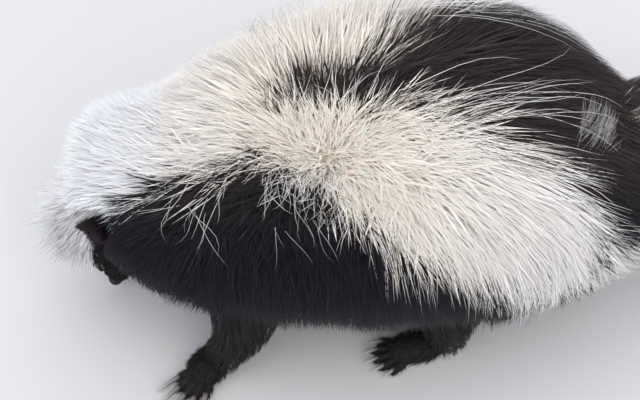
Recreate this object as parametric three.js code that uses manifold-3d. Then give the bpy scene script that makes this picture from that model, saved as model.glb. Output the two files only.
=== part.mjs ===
// A striped skunk at life size, standing with its head down as if nosing at the ground.
// Millimetres, +Z up. It faces -X, its left side is towards -Y, and it stands on Z = 0.
// The long coat is built as flat, tapered locks that are rooted in a core under their tips.
import * as THREE from "three";
import { mergeVertices } from "three/addons/utils/BufferGeometryUtils.js";
import Module from "manifold-3d";

const wasm = await Module();
wasm.setup();

// Clearances and the make of the coat
const GAP = 0.3; // between neighbouring pieces
const CORE_DEPTH = 0.52; // how far under the coat's outline its core lies, as a share of its depth
const ROOT_DEPTH = 0.72; // how deep a lock's root is sunk, as a share of the coat's depth
const WHORL = { at: 0.52, reach: 0.1 }; // the coat parts here: hair lies away from it to both ends

// The coat's outline from the root of the tail to the nape: centre, half width, half height, coat depth
const BODY_STATIONS = [
  { at: [148, 12, 103], wide: 78, high: 68, coat: 40 },
  { at: [108, 12, 112], wide: 98, high: 88, coat: 47 },
  { at: [60, 12, 116], wide: 105, high: 93, coat: 48 },
  { at: [10, 11, 115], wide: 105, high: 93, coat: 46 },
  { at: [-40, 7, 107], wide: 92, high: 84, coat: 42 },
  { at: [-84, 8, 96], wide: 73, high: 71, coat: 35 },
  { at: [-130, 20, 86], wide: 50, high: 58, coat: 26 },
];
const BELLY_COAT = 0.6; // the coat's depth under the belly, as a share of that on the back
const NECK_FROM = 0.82; // where the neck meets the torso, as a share of the body
const NECK_TO = 0.95; // where the flesh of the neck ends in the back of the head
const TORSO_ROWS = [0.02, 0.15, 0.27, 0.38, 0.48, 0.56, 0.65, 0.77];
const NECK_ROWS = [0.85, 0.9, 0.955];
const TORSO_LOCK = { long: 66, wide: 36, thick: 10, apart: 32.5, fall: 0.22 };
const NECK_LOCK = { long: 50, wide: 30, thick: 8, apart: 29, fall: 0.1 };

// The tail's outline from its root to its tip
const TAIL_STATIONS = [
  { at: [128, 9, 105], wide: 34, high: 34, coat: 20 },
  { at: [172, 15, 103], wide: 45, high: 44, coat: 32 },
  { at: [216, 26, 96], wide: 51, high: 50, coat: 41 },
  { at: [258, 40, 84], wide: 58, high: 53, coat: 46 },
  { at: [296, 55, 70], wide: 60, high: 48, coat: 46 },
  { at: [322, 67, 59], wide: 53, high: 36, coat: 36 },
];
const TAIL_FROM = [0.03, 0.36, 0.66]; // where the tail's three lengths start
const TAIL_ROWS = [[0.08, 0.2, 0.31], [0.41, 0.51, 0.61], [0.71, 0.84, 0.97]];
const TAIL_LOCK = { long: 62, wide: 31, thick: 9, apart: 25, fall: 0 };

// The head, in its own frame: x towards the nose, y towards its left, z towards the crown
const HEAD_AT = new THREE.Vector3(-136, 14, 54);
const HEAD_FORWARD = new THREE.Vector3(-0.16, -0.12, -0.98);
const HEAD_STATIONS = [
  { at: [-38, 0, 0.5], wide: 23, high: 22, coat: 4 },
  { at: [-21, 0, 1.5], wide: 29.5, high: 26, coat: 5 },
  { at: [-4, 0, 0.5], wide: 30.5, high: 25.5, coat: 5 },
  { at: [12, 0, -1.5], wide: 23, high: 20, coat: 3 },
  { at: [27, 0, -3.5], wide: 13.5, high: 13.5, coat: 1.5 },
  { at: [42, 0, -4], wide: 8.5, high: 8.5, coat: 1 },
];
const CROWN_ROWS = [0.17, 0.31, 0.45]; // the tall hair of the crown, by shares of the head
const CROWN_ANGLES = [-0.9, -0.3, 0.3, 0.9];
const CROWN_LOCK = { long: 30, shorter: 6, wide: 23, thick: 7, lean: 0.13 };
const CROWN_ROOM = { from: -24, above: 6, long: 90, wide: 130, high: 60 }; // clear of the neck
const EYE = { at: [17.5, 13.8, 7.4], radius: 4.3, long: 4.9, open: 3.3, lid: 0.9 };
const EAR = { at: [-22, 25, 9], size: [7, 5, 11], lean: 0.5, wall: 1.7, cup: 4 };
const NOSE = { at: [45.3, 0, -2.2], size: [4.6, 5.6, 4.8], nostril: 1.6, apart: 2.5 };
const MOUTH = { from: 0.68, to: 0.93, fromAngle: 2.0, toAngle: 2.2, groove: 0.7, lip: 1.0, apart: 0.1 };

// Feet: the palm and its toes in the foot's own frame, x towards the toes
const FOREFOOT = { palm: [16, 13, 11], toe: [9, 3.3, 4.4], claw: 18, clawThick: 2.1, spread: 0.2 };
const HINDFOOT = { palm: [22, 12.5, 11.5], toe: [8, 3.2, 4.4], claw: 9, clawThick: 1.7, spread: 0.16 };
const THIGH = { bones: 2, deeper: 1.15 }; // a leg's upper sections are deeper than wide
const TOES = [-2, -1, 0, 1, 2];
const TOE_SET = { ahead: 1.5, back: 1.2, apart: 1.8, buried: 4 }; // each toe's place and its claw's root

// Legs: where the foot stands and how far it turns out, and the leg's outline from body to ankle
const LEGS = [
  {
    name: "fore",
    side: "left",
    foot: FOREFOOT,
    stands: [-78, -62],
    turn: 0.9,
    bones: [[-50, -34, 88, 25], [-50, -46, 60, 22], [-55, -54, 34, 18], [-69, -57, 11, 14]],
  },
  {
    name: "fore",
    side: "right",
    foot: FOREFOOT,
    stands: [-90, 58],
    turn: -0.14,
    bones: [[-56, 38, 88, 25], [-59, 46, 60, 22], [-67, 54, 34, 18], [-78, 58, 11, 14]],
  },
  {
    name: "hind",
    side: "left",
    foot: HINDFOOT,
    stands: [57, -54],
    turn: 0.24,
    bones: [[76, -36, 88, 30], [72, -46, 60, 24], [73, -53, 34, 17.5], [74, -52, 11, 13]],
  },
  {
    name: "hind",
    side: "right",
    foot: HINDFOOT,
    stands: [102, 66],
    turn: -0.16,
    bones: [[98, 42, 88, 30], [100, 51, 60, 24], [110, 61, 34, 17], [116, 64, 11, 13]],
  },
];

// Colours of the coat and of the bare parts
const BLACK_COAT = { color: 0x1b1719, roughness: 0.85, metalness: 0 };
const WHITE_COAT = { color: 0xe3ddd2, roughness: 0.9, metalness: 0 };
const BARE_SKIN = { color: 0x241d1f, roughness: 0.5, metalness: 0 };
const EYE_BLACK = { color: 0x0b0908, roughness: 0.1, metalness: 0 };

const { lerp, clamp } = THREE.MathUtils;
const FAR = 400; // further than the animal reaches

// A closed geometry, set in a frame, as a solid that can be joined and cut
function solid(geometry, frame = new THREE.Matrix4()) {
  const bare = geometry.index ? geometry.toNonIndexed() : geometry.clone();
  bare.deleteAttribute("normal");
  bare.deleteAttribute("uv");
  bare.applyMatrix4(frame);
  const merged = mergeVertices(bare, 1e-4);
  const spots = merged.attributes.position;
  const corners = merged.index.array;
  const triVerts = [];
  for (let i = 0; i < corners.length; i += 3) {
    const [a, b, c] = corners.slice(i, i + 3);
    if (a !== b && b !== c && c !== a) triVerts.push(a, b, c);
  }
  const build = (order) =>
    new wasm.Manifold(
      new wasm.Mesh({ numProp: 3, vertProperties: spots.array, triVerts: new Uint32Array(order) }),
    );
  const made = build(triVerts);
  return made.volume() > 0 ? made : build(triVerts.toReversed());
}

const union = (solids) => wasm.Manifold.union(solids);

// The same numbers between 0 and 1 on every run
function seededRandom(seed) {
  let state = seed;
  return () => {
    state = (state * 1664525 + 1013904223) % 2 ** 32;
    return state / 2 ** 32;
  };
}

// The solid's largest closed surface as a named mesh in a group
function meshOf(name, made, look, group) {
  const largest = made.decompose().sort((a, b) => b.volume() - a.volume())[0];
  const { vertProperties, triVerts } = largest.getMesh();
  const geometry = new THREE.BufferGeometry();
  geometry.setAttribute("position", new THREE.BufferAttribute(new Float32Array(vertProperties), 3));
  geometry.setIndex(new THREE.BufferAttribute(new Uint32Array(triVerts), 1));
  group.updateWorldMatrix(true, false);
  geometry.applyMatrix4(group.matrixWorld.clone().invert());
  geometry.computeVertexNormals();
  const mesh = new THREE.Mesh(geometry, new THREE.MeshStandardMaterial(look));
  mesh.name = name;
  group.add(mesh);
  return mesh;
}

// A bent body of oval sections. Its angle runs from 0 at the top over the left side to the underside.
class Trunk {
  constructor(stations, { top = new THREE.Vector3(0, 0, 1), under = 1, frame, across } = {}) {
    this.centre = new THREE.CatmullRomCurve3(
      stations.map((s) => new THREE.Vector3(...s.at)),
      false,
      "catmullrom",
    );
    this.sizes = new THREE.CatmullRomCurve3(
      stations.map((s) => new THREE.Vector3(s.wide, s.high, s.coat)),
      false,
      "catmullrom",
    );
    this.length = this.centre.getLength();
    Object.assign(this, { top, under, frame, across });
  }

  // Centre, axes and sizes at a share of the way. Past an end the body goes on in a straight line.
  at(share) {
    const held = clamp(share, 0, 1);
    const tangent = this.centre.getTangent(held);
    const centre = this.centre.getPoint(held).addScaledVector(tangent, (share - held) * this.length);
    const facing = this.across ?? tangent;
    const side = new THREE.Vector3().crossVectors(this.top, facing).normalize();
    const up = new THREE.Vector3().crossVectors(facing, side);
    const { x: wide, y: high, z: coat } = this.sizes.getPoint(held);
    return { centre, tangent, side, up, wide, high, coat };
  }

  // A point that lies `depth` coat depths under the outline, moved outwards by `extra`
  point(share, angle, depth = 0, extra = 0) {
    const { centre, side, up, wide, high, coat } = this.at(share);
    const inset = depth * coat * lerp(1, this.under, (1 - Math.cos(angle)) / 2) - extra;
    return centre
      .addScaledVector(side, Math.sin(angle) * (wide - inset))
      .addScaledVector(up, Math.cos(angle) * (high - inset));
  }

  // A closed body through rings, each at a share of the way and an inset, and each full or a point
  loft(rings, sides) {
    const last = rings.length - 1;
    const shape = new THREE.SphereGeometry(1, sides, last);
    const spots = shape.attributes.position;
    const spot = new THREE.Vector3();
    for (let i = 0; i < spots.count; i++) {
      spot.fromBufferAttribute(spots, i);
      const ring = Math.round((Math.acos(clamp(spot.y, -1, 1)) / Math.PI) * last);
      const { share, depth = 0, extra = 0, full = 1 } = rings[ring];
      const rim = this.point(share, Math.atan2(spot.x, spot.z), depth, extra);
      spot.copy(this.at(share).centre).lerp(rim, ring === 0 || ring === last ? 0 : full);
      spots.setXYZ(i, spot.x, spot.y, spot.z);
    }
    return solid(shape, this.frame);
  }

  // The closed body between two shares, with round ends that take the given part of its length
  barrel({ from = 0, to = 1, depth = 0, extra = 0, sides = 20, rows = 12, ends = [0.25, 0.25] }) {
    const rings = [];
    for (let row = 0; row <= rows; row++) {
      const along = row / rows;
      const share = lerp(from - extra / this.length, to + extra / this.length, along);
      const rise = Math.min(along / ends[0], (1 - along) / ends[1], 1);
      rings.push({ share, depth, extra, full: Math.sqrt(1 - (1 - rise) ** 2) });
    }
    return this.loft(rings, sides);
  }

  // All that lies past a border: flat through the core, then rising with the lie of the coat
  beyond(border, lockLength, extra = 0) {
    const share = border - (2 * extra) / this.length;
    const run = lockLength / this.length;
    const rings = [
      { share },
      { share, depth: CORE_DEPTH, extra },
      { share: share + run / 2, depth: CORE_DEPTH / 2, extra },
      { share: share + run, depth: 0, extra },
      { share: share + 1.5 * run, extra: FAR / 12 + extra },
      { share: share + 4 * run, extra: FAR / 6 + extra },
      { share: share + 4 * run },
    ];
    return this.loft(rings, 16);
  }
}

// A flat, tapered lock along a curve from its root to its tip, with its ridge facing out
function lock(path, out, wide, thick, frame) {
  const shape = new THREE.ConeGeometry(1, 1, 3, 3);
  const spots = shape.attributes.position;
  for (let i = 0; i < spots.count; i++) {
    const along = clamp(spots.getY(i) + 0.5, 0, 1);
    const tangent = path.getTangent(along);
    const side = new THREE.Vector3().crossVectors(tangent, out).normalize();
    const face = new THREE.Vector3().crossVectors(side, tangent);
    const swell = 0.7 + 1.1 * along;
    const spot = path
      .getPoint(along)
      .addScaledVector(side, (spots.getX(i) * swell * wide) / 2)
      .addScaledVector(face, (spots.getZ(i) * swell * thick) / 2);
    spots.setXYZ(i, spot.x, spot.y, spot.z);
  }
  return solid(shape, frame);
}

// Rows of locks round a trunk.
// `lieAt` gives which way hair lies at a share: 1 onwards, -1 back, 0 straight out.
function coatLocks(trunk, rows, make, lieAt, seed, clearOf = []) {
  const random = seededRandom(seed);
  const vary = (amount) => 1 + amount * (2 * random() - 1);
  const locks = [];
  rows.forEach((rowShare, row) => {
    const { wide, high, coat } = trunk.at(rowShare);
    const count = Math.round((Math.PI * (wide + high - 2 * CORE_DEPTH * coat)) / make.apart);
    for (let k = 0; k < count; k++) {
      const angle = ((k + 0.5 * (row % 2) + 0.25 * vary(1)) / count) * 2 * Math.PI;
      const share = rowShare + (0.12 * (vary(1) - 1) * make.long) / trunk.length;
      const belly = lerp(1, trunk.under, (1 - Math.cos(angle)) / 2);
      const run = (lieAt(share) * make.long * belly * vary(0.12)) / trunk.length;
      const fall = make.fall * Math.sin(angle) + 0.1 * (vary(1) - 1);
      const root = trunk.point(share, angle, ROOT_DEPTH);
      const bend = trunk.point(share + 0.45 * run, angle + 0.4 * fall, 0.2);
      const tip = trunk.point(share + run, angle + fall, 0.08 * random());
      const { centre, tangent } = trunk.at(share + 0.45 * run);
      const out = bend.clone().sub(centre).normalize().addScaledVector(tangent, run > 0 ? -0.5 : 0.5);
      const wideHere = make.wide * vary(0.12);
      const near = (spot) => Math.min(spot.distanceTo(tip), spot.distanceTo(bend)) < make.wide;
      if (clearOf.some(near)) continue;
      locks.push(lock(new THREE.QuadraticBezierCurve3(root, bend, tip), out, wideHere, make.thick));
    }
  });
  return locks;
}

// A smooth ellipsoid
function ovoid(at, size, { extra = 0, frame, sides = 12, rows = 8, turn = 0 } = {}) {
  const shape = new THREE.SphereGeometry(1, sides, rows);
  shape.scale(...size.map((radius) => radius + extra)).rotateX(turn).translate(...at);
  return solid(shape, frame);
}

// A round bar along a smooth path
function bar(points, radius, { frame, steps = 10, sides = 4 } = {}) {
  const outline = new THREE.Shape();
  outline.absarc(0, 0, radius, 0, Math.PI * 2);
  const section = new THREE.Shape(outline.getPoints(sides).slice(0, -1));
  const extrudePath = new THREE.CatmullRomCurve3(points);
  const shape = new THREE.ExtrudeGeometry(section, { steps, extrudePath, bevelEnabled: false });
  return solid(shape, frame);
}

// A bent horn that tapers from its root to a blunt point
function claw(at, length, thick, frame) {
  const shape = new THREE.ConeGeometry(thick, length, 4, 3).rotateZ(-Math.PI / 2);
  const spots = shape.attributes.position;
  for (let i = 0; i < spots.count; i++) {
    const along = spots.getX(i) / length + 0.5;
    spots.setZ(i, spots.getZ(i) * 1.3 - along ** 2 * length * 0.24);
  }
  return solid(shape.translate(...at), frame);
}

const headUp = new THREE.Vector3().crossVectors(HEAD_FORWARD, new THREE.Vector3(0, -1, 0)).normalize();
const headForward = HEAD_FORWARD.clone().normalize();
const headLeft = new THREE.Vector3().crossVectors(headUp, headForward);
const headFrame = new THREE.Matrix4().makeBasis(headForward, headLeft, headUp).setPosition(HEAD_AT);

const body = new Trunk(BODY_STATIONS, { under: BELLY_COAT });
const tail = new Trunk(TAIL_STATIONS);
const skull = new Trunk(HEAD_STATIONS, { frame: headFrame });
const mirrored = (spot, side) => [spot[0], spot[1] * side, spot[2]];

// One eye, and the two lids round it as bars that lie on the ball
const eyeBall = (side, extra = 0) =>
  ovoid(mirrored(EYE.at, side), [EYE.radius, EYE.radius, EYE.radius], { extra, frame: headFrame });

function lids(side) {
  const out = new THREE.Vector3(0.42, 0.66 * side, 0.62).normalize();
  const along = new THREE.Vector3(1, 0, 0).addScaledVector(out, -out.x).normalize();
  const over = new THREE.Vector3().crossVectors(out, along).multiplyScalar(side);
  return [EYE.open, -0.8 * EYE.open].map((open) => {
    const path = [];
    for (let k = 0; k <= 6; k++) {
      const turn = (k / 6) * Math.PI;
      const x = EYE.long * Math.cos(turn);
      const y = open * Math.sin(turn);
      const rise = Math.sqrt(Math.max(1, (EYE.radius + 0.5) ** 2 - x * x - y * y));
      path.push(
        new THREE.Vector3(...mirrored(EYE.at, side))
          .addScaledVector(out, rise)
          .addScaledVector(along, x)
          .addScaledVector(over, y),
      );
    }
    return bar(path, EYE.lid, { frame: headFrame, steps: 5 });
  });
}

// The line of the mouth from corner to corner round the muzzle, moved towards the chin by an angle
function mouthPath(lower) {
  const path = [];
  for (const side of [1, -1]) {
    const half = [];
    for (let k = 0; k <= 3; k++) {
      const share = lerp(MOUTH.from, MOUTH.to, k / 3);
      const angle = lerp(MOUTH.fromAngle, MOUTH.toAngle, k / 3) + lower;
      half.push(skull.point(share, angle * side));
    }
    path.push(...(side > 0 ? half : half.reverse()));
  }
  path.splice(4, 0, skull.at(0.985).centre.add(new THREE.Vector3(1, 0, -6.8 - lower * 7)));
  return path;
}

const skullSolid = (extra = 0) => skull.barrel({ sides: 18, rows: 11, ends: [0.25, 0.12], extra });

function headSolid() {
  const lips = [-MOUTH.apart, MOUTH.apart].map((lower) =>
    bar(mouthPath(lower), MOUTH.lip, { frame: headFrame, steps: 8 }),
  );
  const crown = union(crownLocks()).intersect(crownRoom()).subtract(union([earSpace(1), earSpace(-1)]));
  const flesh = [skullSolid(), crown, ...lips, ...lids(1), ...lids(-1)];
  const groove = bar(mouthPath(0), MOUTH.groove, { frame: headFrame, steps: 8 });
  return union(flesh)
    .subtract(groove)
    .subtract(noseSolid(GAP))
    .subtract(eyeBall(1, GAP))
    .subtract(eyeBall(-1, GAP));
}

// The bare nose, with its two nostrils and the groove between them
function noseSolid(extra = 0) {
  const pad = ovoid(NOSE.at, NOSE.size, { extra, frame: headFrame, sides: 10 });
  if (extra > 0) return pad;
  const front = NOSE.at[0] + NOSE.size[0];
  const hole = [2.4, NOSE.nostril, NOSE.nostril * 0.8];
  const holes = [1, -1].map((side) =>
    ovoid([front - 1.1, NOSE.apart * side, NOSE.at[2] - 0.2], hole, { frame: headFrame, sides: 6, rows: 4 }),
  );
  const cleft = [-5, -3, -1].map((z) => new THREE.Vector3(front + 0.12 * z * z * -0.5, 0, NOSE.at[2] + z));
  return pad.subtract(union([...holes, bar(cleft, 0.45, { frame: headFrame, steps: 3 })]));
}

// An ear's cup: a round shell that leans out, open to the front
function earSolid(side) {
  const frame = headFrame;
  const turn = -EAR.lean * side;
  const shell = ovoid(mirrored(EAR.at, side), EAR.size, { frame, turn });
  const inner = EAR.size.map((radius) => radius - EAR.wall);
  const mouthOfCup = [EAR.at[0] + EAR.cup, EAR.at[1] + 1.5, EAR.at[2]];
  const cup = ovoid(mirrored(mouthOfCup, side), inner, { frame, turn });
  return shell.subtract(cup).subtract(skullSolid(GAP));
}

const earSpace = (side) =>
  ovoid(mirrored(EAR.at, side), EAR.size, { extra: 1, frame: headFrame, turn: -EAR.lean * side });

// A leg from inside the body to its ankle
function legSolid({ bones }, extra = 0) {
  const stations = bones.map(([x, y, z, r], i) => {
    const high = i < THIGH.bones ? r * THIGH.deeper : r;
    return { at: [x, y, z], wide: r, high, coat: 6 };
  });
  const limb = new Trunk(stations, { top: new THREE.Vector3(1, 0, 0), across: new THREE.Vector3(0, 0, -1) });
  return limb.barrel({ sides: 10, rows: 8, ends: [0.25, 0.13], extra });
}

const footFrame = ({ stands, turn }) =>
  new THREE.Matrix4().makeRotationZ(Math.PI + turn).setPosition(stands[0], stands[1], 0);

// A flat-soled foot with its toes and claws
function footSolid(leg, extra = 0) {
  const frame = footFrame(leg);
  const { palm, toe, claw: clawLength, clawThick, spread } = leg.foot;
  const palmOvoid = ovoid([0, 0, palm[2] * 0.6], palm, { extra, frame, sides: 10, rows: 6 });
  if (extra > 0) return palmOvoid;
  const pieces = [palmOvoid];
  for (const step of TOES) {
    const fan = new THREE.Matrix4().makeRotationZ(step * spread);
    const place = frame.clone().multiply(fan);
    const front = palm[0] - TOE_SET.back * step * step + TOE_SET.ahead;
    const across = step * TOE_SET.apart;
    const clawAt = [front + toe[0] + clawLength / 2 - TOE_SET.buried, across, toe[2] * 1.15];
    pieces.push(ovoid([front, across, toe[2] * 0.85], toe, { frame: place, sides: 6, rows: 4 }));
    pieces.push(claw(clawAt, clawLength, clawThick, place));
  }
  const room = new THREE.BoxGeometry(FAR, FAR, FAR).translate(0, 0, FAR / 2);
  return union(pieces).intersect(solid(room, frame));
}

// The tall hair of the crown
function crownLocks() {
  return CROWN_ROWS.flatMap((share, row) =>
    CROWN_ANGLES.map((angle) => {
      const tall = CROWN_LOCK.long - CROWN_LOCK.shorter * row;
      const root = skull.point(share, angle, 1.5);
      const tip = skull.point(share + CROWN_LOCK.lean, angle, 0, tall);
      const bend = skull.point(share, angle, 0, 0.5 * tall);
      const path = new THREE.QuadraticBezierCurve3(root, bend, tip);
      return lock(path, new THREE.Vector3(-1, 0, 0), CROWN_LOCK.wide, CROWN_LOCK.thick, headFrame);
    }),
  );
}

// The space in front of the neck that is left to the crown's hair
function crownRoom(extra = 0) {
  const { from, above, long, wide, high } = CROWN_ROOM;
  const room = new THREE.BoxGeometry(long + 2 * extra, wide, high + 2 * extra);
  return solid(room.translate(long / 2 + from, 0, high / 2 + above), headFrame);
}

const SEEDS = { torso: 12, neck: 23, tail: 81 }; // where each part's uneven numbers start
const legSpaces = LEGS.map((leg) => legSolid(leg, GAP));
const towardHead = () => 1;
const fromWhorl = (share) => clamp((share - WHORL.at) / WHORL.reach, -1, 1);
const earSpots = [1, -1].map((side) => new THREE.Vector3(...mirrored(EAR.at, side)).applyMatrix4(headFrame));

function torsoSolid() {
  const core = body.barrel({ from: 0, to: NECK_FROM + 0.1, depth: CORE_DEPTH, sides: 20, rows: 12 });
  return union([core, ...coatLocks(body, TORSO_ROWS, TORSO_LOCK, fromWhorl, SEEDS.torso)]).subtract(
    union([
      tail.beyond(TAIL_FROM[0], TAIL_LOCK.long, GAP),
      body.beyond(NECK_FROM, NECK_LOCK.long, GAP),
      ...legSpaces,
    ]),
  );
}

function neckSolid() {
  const core = body.barrel({ from: NECK_FROM - 0.1, to: NECK_TO + 0.03, depth: CORE_DEPTH, sides: 16, rows: 10 });
  return union([core, ...coatLocks(body, NECK_ROWS, NECK_LOCK, towardHead, SEEDS.neck, earSpots)])
    .intersect(body.beyond(NECK_FROM, NECK_LOCK.long))
    .subtract(union([skullSolid(GAP), crownRoom(GAP), earSpace(1), earSpace(-1), ...legSpaces]));
}

function tailSolids() {
  const core = tail.barrel({ from: -0.1, to: 1, depth: CORE_DEPTH, sides: 14, rows: 14, ends: [0.1, 0.25] });
  return TAIL_FROM.map((from, i) => {
    const whole = union([core, ...coatLocks(tail, TAIL_ROWS[i], TAIL_LOCK, towardHead, SEEDS.tail + i)]);
    const length = whole.intersect(tail.beyond(from, TAIL_LOCK.long));
    return i < TAIL_FROM.length - 1
      ? length.subtract(tail.beyond(TAIL_FROM[i + 1], TAIL_LOCK.long, GAP))
      : length;
  });
}

const skunk = new THREE.Group();
const head = new THREE.Group();
headFrame.decompose(head.position, head.quaternion, head.scale);
skunk.add(head);

meshOf("head", headSolid(), WHITE_COAT, head);
meshOf("nose", noseSolid(), BARE_SKIN, head);
for (const [name, side] of [["left", 1], ["right", -1]]) {
  meshOf(`eye_${name}`, eyeBall(side), EYE_BLACK, head);
  meshOf(`ear_${name}`, earSolid(side), BLACK_COAT, head);
}
meshOf("neck", neckSolid(), WHITE_COAT, skunk);
meshOf("torso", torsoSolid(), BLACK_COAT, skunk);
const tailNames = ["tail_base", "tail_middle", "tail_tip"];
tailSolids().forEach((length, i) => meshOf(tailNames[i], length, BLACK_COAT, skunk));
for (const leg of LEGS) {
  meshOf(`${leg.name}leg_${leg.side}`, legSolid(leg).subtract(footSolid(leg, GAP)), BLACK_COAT, skunk);
  meshOf(`${leg.name}foot_${leg.side}`, footSolid(leg), BLACK_COAT, skunk);
}

// The group stands with the middle of its box over the origin
const middle = new THREE.Box3().setFromObject(skunk, true).getCenter(new THREE.Vector3());
skunk.position.set(-middle.x, -middle.y, 0);

export default skunk;
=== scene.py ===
"""A life-size striped skunk with its head down, as a museum shows it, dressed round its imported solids.

The animal faces -X, its left side is towards -Y and it stands on Z = 0. The shapes are worked out in
millimetres round the same stations as the solids, and to_frame() sets them in the frame, in metres.
"""
import math

import bpy
import numpy as np
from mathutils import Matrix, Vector


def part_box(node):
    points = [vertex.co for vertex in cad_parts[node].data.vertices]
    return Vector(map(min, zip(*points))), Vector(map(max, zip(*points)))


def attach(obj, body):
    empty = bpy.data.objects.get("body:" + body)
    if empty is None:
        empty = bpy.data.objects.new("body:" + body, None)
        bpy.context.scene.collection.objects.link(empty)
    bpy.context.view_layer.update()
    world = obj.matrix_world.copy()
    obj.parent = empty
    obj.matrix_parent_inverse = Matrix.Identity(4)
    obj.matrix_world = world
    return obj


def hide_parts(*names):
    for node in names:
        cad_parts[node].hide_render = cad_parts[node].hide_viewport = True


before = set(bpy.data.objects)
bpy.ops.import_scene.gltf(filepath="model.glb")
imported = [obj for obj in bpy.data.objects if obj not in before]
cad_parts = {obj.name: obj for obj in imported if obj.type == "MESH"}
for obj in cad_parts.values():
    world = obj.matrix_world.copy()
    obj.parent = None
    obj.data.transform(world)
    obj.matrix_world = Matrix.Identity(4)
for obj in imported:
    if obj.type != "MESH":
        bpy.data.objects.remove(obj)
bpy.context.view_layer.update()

# Stations of the coat's outline: centre, half width, half height, coat depth
BODY_STATIONS = [
    ((148, 12, 103), 78, 68, 40),
    ((108, 12, 112), 98, 88, 47),
    ((60, 12, 116), 105, 93, 48),
    ((10, 11, 115), 105, 93, 46),
    ((-40, 7, 107), 92, 84, 42),
    ((-84, 8, 96), 73, 71, 35),
    ((-130, 20, 86), 50, 58, 26),
]
BELLY_COAT = 0.6  # the coat's depth under the belly, as a share of that on the back
TAIL_STATIONS = [
    ((128, 9, 105), 34, 34, 20),
    ((172, 15, 103), 45, 44, 32),
    ((216, 26, 96), 51, 50, 41),
    ((258, 40, 84), 58, 53, 46),
    ((296, 55, 70), 60, 48, 46),
    ((322, 67, 59), 53, 36, 36),
]
FLESH_DEPTH = 0.52  # how deep the skin lies, as a share of the coat's depth
ROOT_DEPTH = 0.6  # how deep a hair's root lies, as a share of the coat's depth
WHORL_SHARE = 0.53  # where the left shoulder's whorl lies
WHORL_ANGLE = 0.6
BODY_GIRTH = 95.0  # the body's mean radius on the back, which turns angles into lengths

# The head, in its own frame: x towards the nose, y towards its left, z towards the crown
HEAD_AT = np.array([-136.0, 14.0, 54.0])
HEAD_FORWARD = np.array([-0.16, -0.12, -0.98])
HEAD_STATIONS = [
    ((-38, 0, 0.5), 23, 22, 4),
    ((-21, 0, 1.5), 29.5, 26, 5),
    ((-4, 0, 0.5), 30.5, 25.5, 5),
    ((12, 0, -1.5), 23, 20, 3),
    ((27, 0, -3.5), 13.5, 13.5, 1.5),
    ((42, 0, -4), 8.5, 8.5, 1),
]
EYE_AT = np.array([17.5, 13.8, 7.4])
EYE_RADIUS = 4.3
EYE_OUT = np.array([0.42, 0.66, 0.62])
EAR_AT = np.array([-22.0, 25.0, 9.0])
EAR_OUT = np.array([0.55, 0.72, 0.42])
EAR_TOP = np.array([-0.25, 0.1, 1.0])
EAR_SIZE = (7.5, 10.5, 6.0)  # half width, half height, depth
EAR_RAISED = 1.5
EAR_PROFILE = [  # the cup's radius and depth, from its outer middle over the rim to its inner middle
    (0.0, -1.0), (0.35, -0.93), (0.62, -0.72), (0.83, -0.4), (0.96, 0.0), (1.0, 0.22),
    (0.95, 0.28), (0.86, 0.12), (0.72, -0.28), (0.52, -0.56), (0.28, -0.72), (0.0, -0.76),
]
EAR_ZONE = 12.5  # how far from an ear's middle its own short fur reaches
NOSE_AT = np.array([45.3, 0.0, -2.2])
NOSE_SIZE = np.array([4.6, 5.6, 4.8])
NOSTRIL_APART = 2.7  # from the middle line
NOSTRIL_DEEP = 2.4
LIDS = ((3.3, 1.15), (-2.7, 0.85))  # how far the upper and the lower lid open, and how thick they are
LID_REACH = 5.0  # from the eye's middle to its corners
MOUTH_SHARES = (0.68, 0.93)  # from its corners to its front
MOUTH_ANGLES = (2.0, 2.2)
MOUTH_FRONT = 0.985
MOUTH_DROP = np.array([1.0, 0.0, -6.8])  # from the skull's middle there to the mouth's front
MOUTH_DEEP = 1.3
LIP_HIGH = 0.55
NECK_FRONT = {"ahead": -96, "above": 34, "behind": 8}  # in the animal's frame, and behind in the head's
HEAD_FLESH = np.array([48.0, 25.0, 22.0])  # half sizes of the part of the head that no hair runs through
# Rounded forms that grow together with the skull: the cheek, brow and lip of each side, and the chin, the
# bridge of the nose and the tip of the muzzle
HEAD_PAIRS = [((-6, 17.5, -6), (15, 8.5, 12)), ((10, 10.5, 9), (9, 6, 6)), ((33, 4.2, -5), (9, 5.2, 5.2))]
HEAD_MIDDLE = [((33, 0, -9.3), (10, 5, 4)), ((30, 0, 1.5), (14, 6, 5)), ((40, 0, -3.6), (5, 7, 6.6))]
EYE_CLEAR = 4.8  # how far the hair keeps from the eyes, the nose and the mouth
NOSE_CLEAR = 6.2
MOUTH_CLEAR = 0.9
WHISKER_ROOT = np.array([30, 7.5, -6.5])
WHISKER_STEP = np.array([3.2, -0.9, 2.3])  # forward and inward along a row, and up from row to row

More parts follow.
